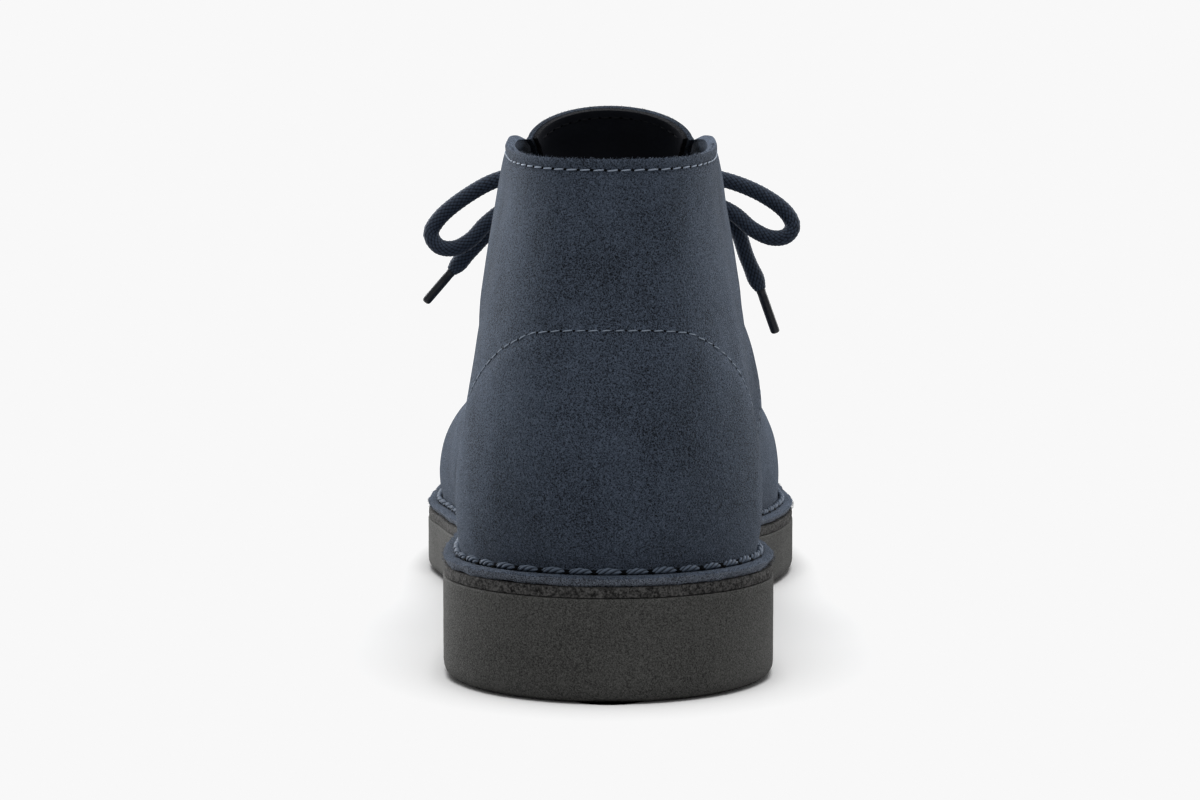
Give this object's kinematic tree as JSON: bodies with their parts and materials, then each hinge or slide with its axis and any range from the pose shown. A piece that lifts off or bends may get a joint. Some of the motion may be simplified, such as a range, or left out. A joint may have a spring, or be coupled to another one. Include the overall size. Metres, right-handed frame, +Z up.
{
  "type": "chukka boot",
  "caption": "Ankle-high suede chukka boot with a stitched-down upper, thick rubber sole, open collar and a tied bow; it stands empty on its sole.",
  "frame": {"origin": "on the ground, under the middle of the heel", "axes": "+Y from heel to toe, +X towards the inner side of the foot, +Z up"},
  "size_m": [0.1047, 0.3, 0.1302],
  "materials": {
    "suede": "brushed suede, matt, with a soft nap",
    "tongue_suede": "suede outside, black lining inside",
    "grey_rubber": "fine-grained matt rubber",
    "dark_rubber": "coarse matt rubber",
    "insole_cloth": "matt black cloth",
    "lace_cotton": "round braided cotton",
    "aglet_plastic": "smooth half-gloss plastic"
  },
  "bodies": {
    "root": {"outsole": "grey_rubber", "midsole": "dark_rubber", "upper": "suede", "tongue": "tongue_suede", "insole": "insole_cloth", "lace_bar_upper": "lace_cotton", "lace_bar_lower": "lace_cotton", "lace_knot": "lace_cotton", "lace_loop_left": "lace_cotton", "lace_end_left": "lace_cotton", "lace_loop_right": "lace_cotton", "lace_end_right": "lace_cotton", "aglet_left": "aglet_plastic", "aglet_right": "aglet_plastic"}
  },
  "joints": []
}
